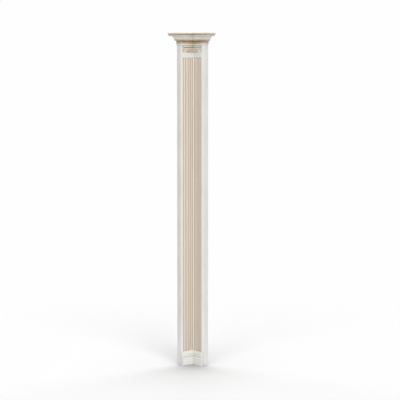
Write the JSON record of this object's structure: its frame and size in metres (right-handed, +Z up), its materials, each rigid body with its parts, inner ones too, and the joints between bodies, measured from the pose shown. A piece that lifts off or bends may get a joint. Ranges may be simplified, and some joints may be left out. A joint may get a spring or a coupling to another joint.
{
  "type": "inner corner column",
  "caption": "Painted wooden column for an inner corner: a right-angled notch with fluted walls, carved capitals, a moulded plinth and a wide cornice.",
  "frame": {"origin": "centre of the bounding box, on the floor", "axes": "+Z up; the notch opens towards +X and -Y, and the two flat backs look along -X and +Y"},
  "size_m": [0.223, 0.223, 2.2],
  "materials": {
    "shaft_paint": "ivory paint, beige glaze in the flutes, satin",
    "plinth_paint": "ivory paint with brown patina in the grooves, satin",
    "capital_glaze": "ivory paint with golden brown patina, satin",
    "band_gilding": "dark brown and gold glaze, satin",
    "cove_paint": "ivory paint, satin",
    "cap_glaze": "ivory paint with a brown glazed edge, satin"
  },
  "bodies": {
    "root": {"left_pilaster": "shaft_paint", "right_pilaster": "shaft_paint", "plinth_left": "plinth_paint", "plinth_right": "plinth_paint", "capital_left": "capital_glaze", "capital_right": "capital_glaze", "bead_band": "band_gilding", "cornice_cove": "cove_paint", "top_board": "cap_glaze"}
  },
  "joints": []
}
